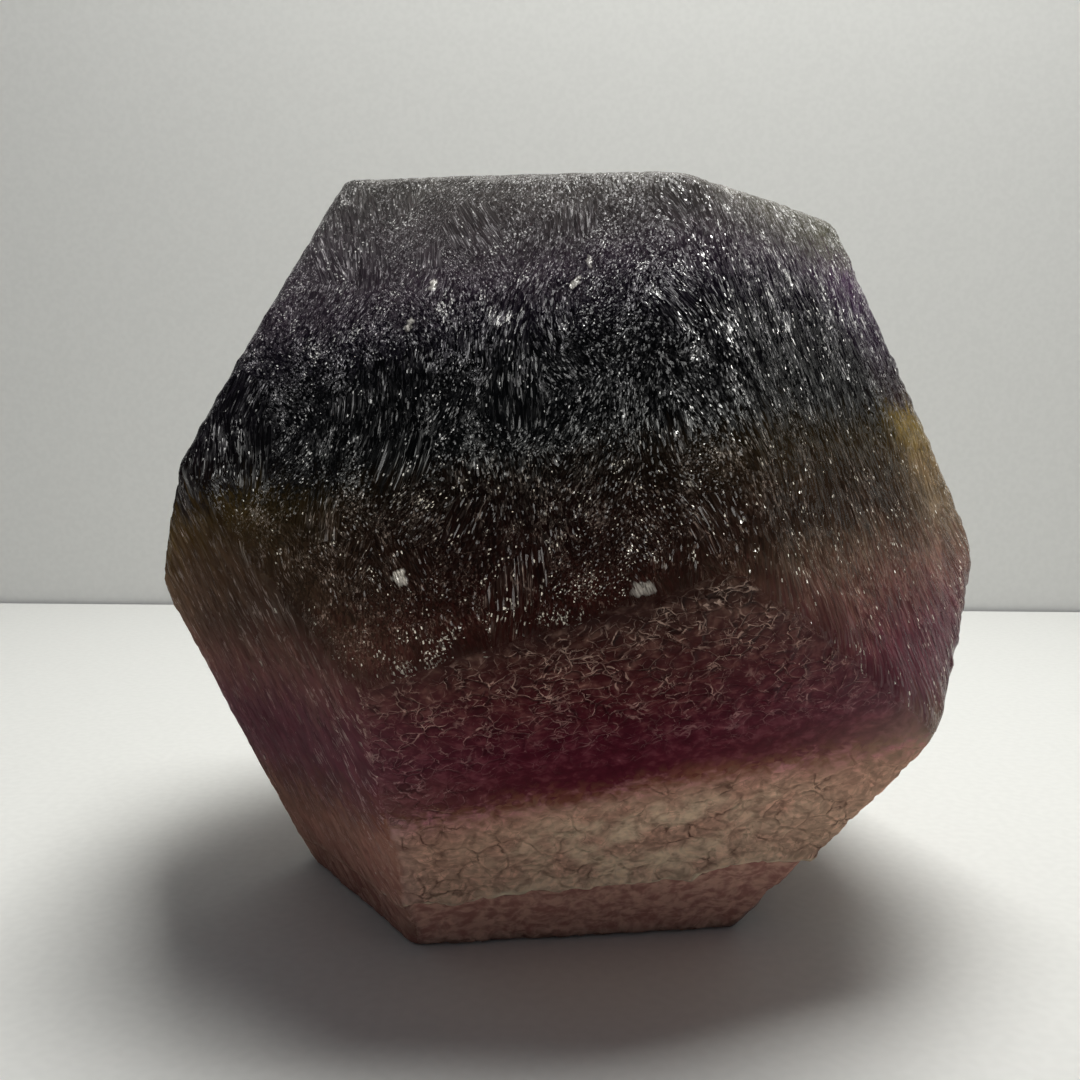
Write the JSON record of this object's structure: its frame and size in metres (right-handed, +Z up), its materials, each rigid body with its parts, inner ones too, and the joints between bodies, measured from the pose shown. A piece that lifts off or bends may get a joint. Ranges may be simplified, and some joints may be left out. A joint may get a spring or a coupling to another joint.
{
  "type": "fluorite dodecahedron",
  "caption": "Banded purple, green and cream fluorite stone ground as a dodecahedron with frosted, etched faces and worn edges; rests on a flat face as a display piece.",
  "frame": {"origin": "under the middle of the bounding box, on the surface that the stone rests on", "axes": "+Z up, -Y towards the front of the stone, where two ring faces show an upper and a lower pentagon, +X to its right"},
  "size_m": [0.0912, 0.0894, 0.0776],
  "materials": {
    "fluorite": "etched frosted translucent fluorite in near-level bands of violet, blue-black, amber brown, plum and cream"
  },
  "bodies": {
    "root": {"fluorite_dodecahedron": "fluorite"}
  },
  "joints": []
}
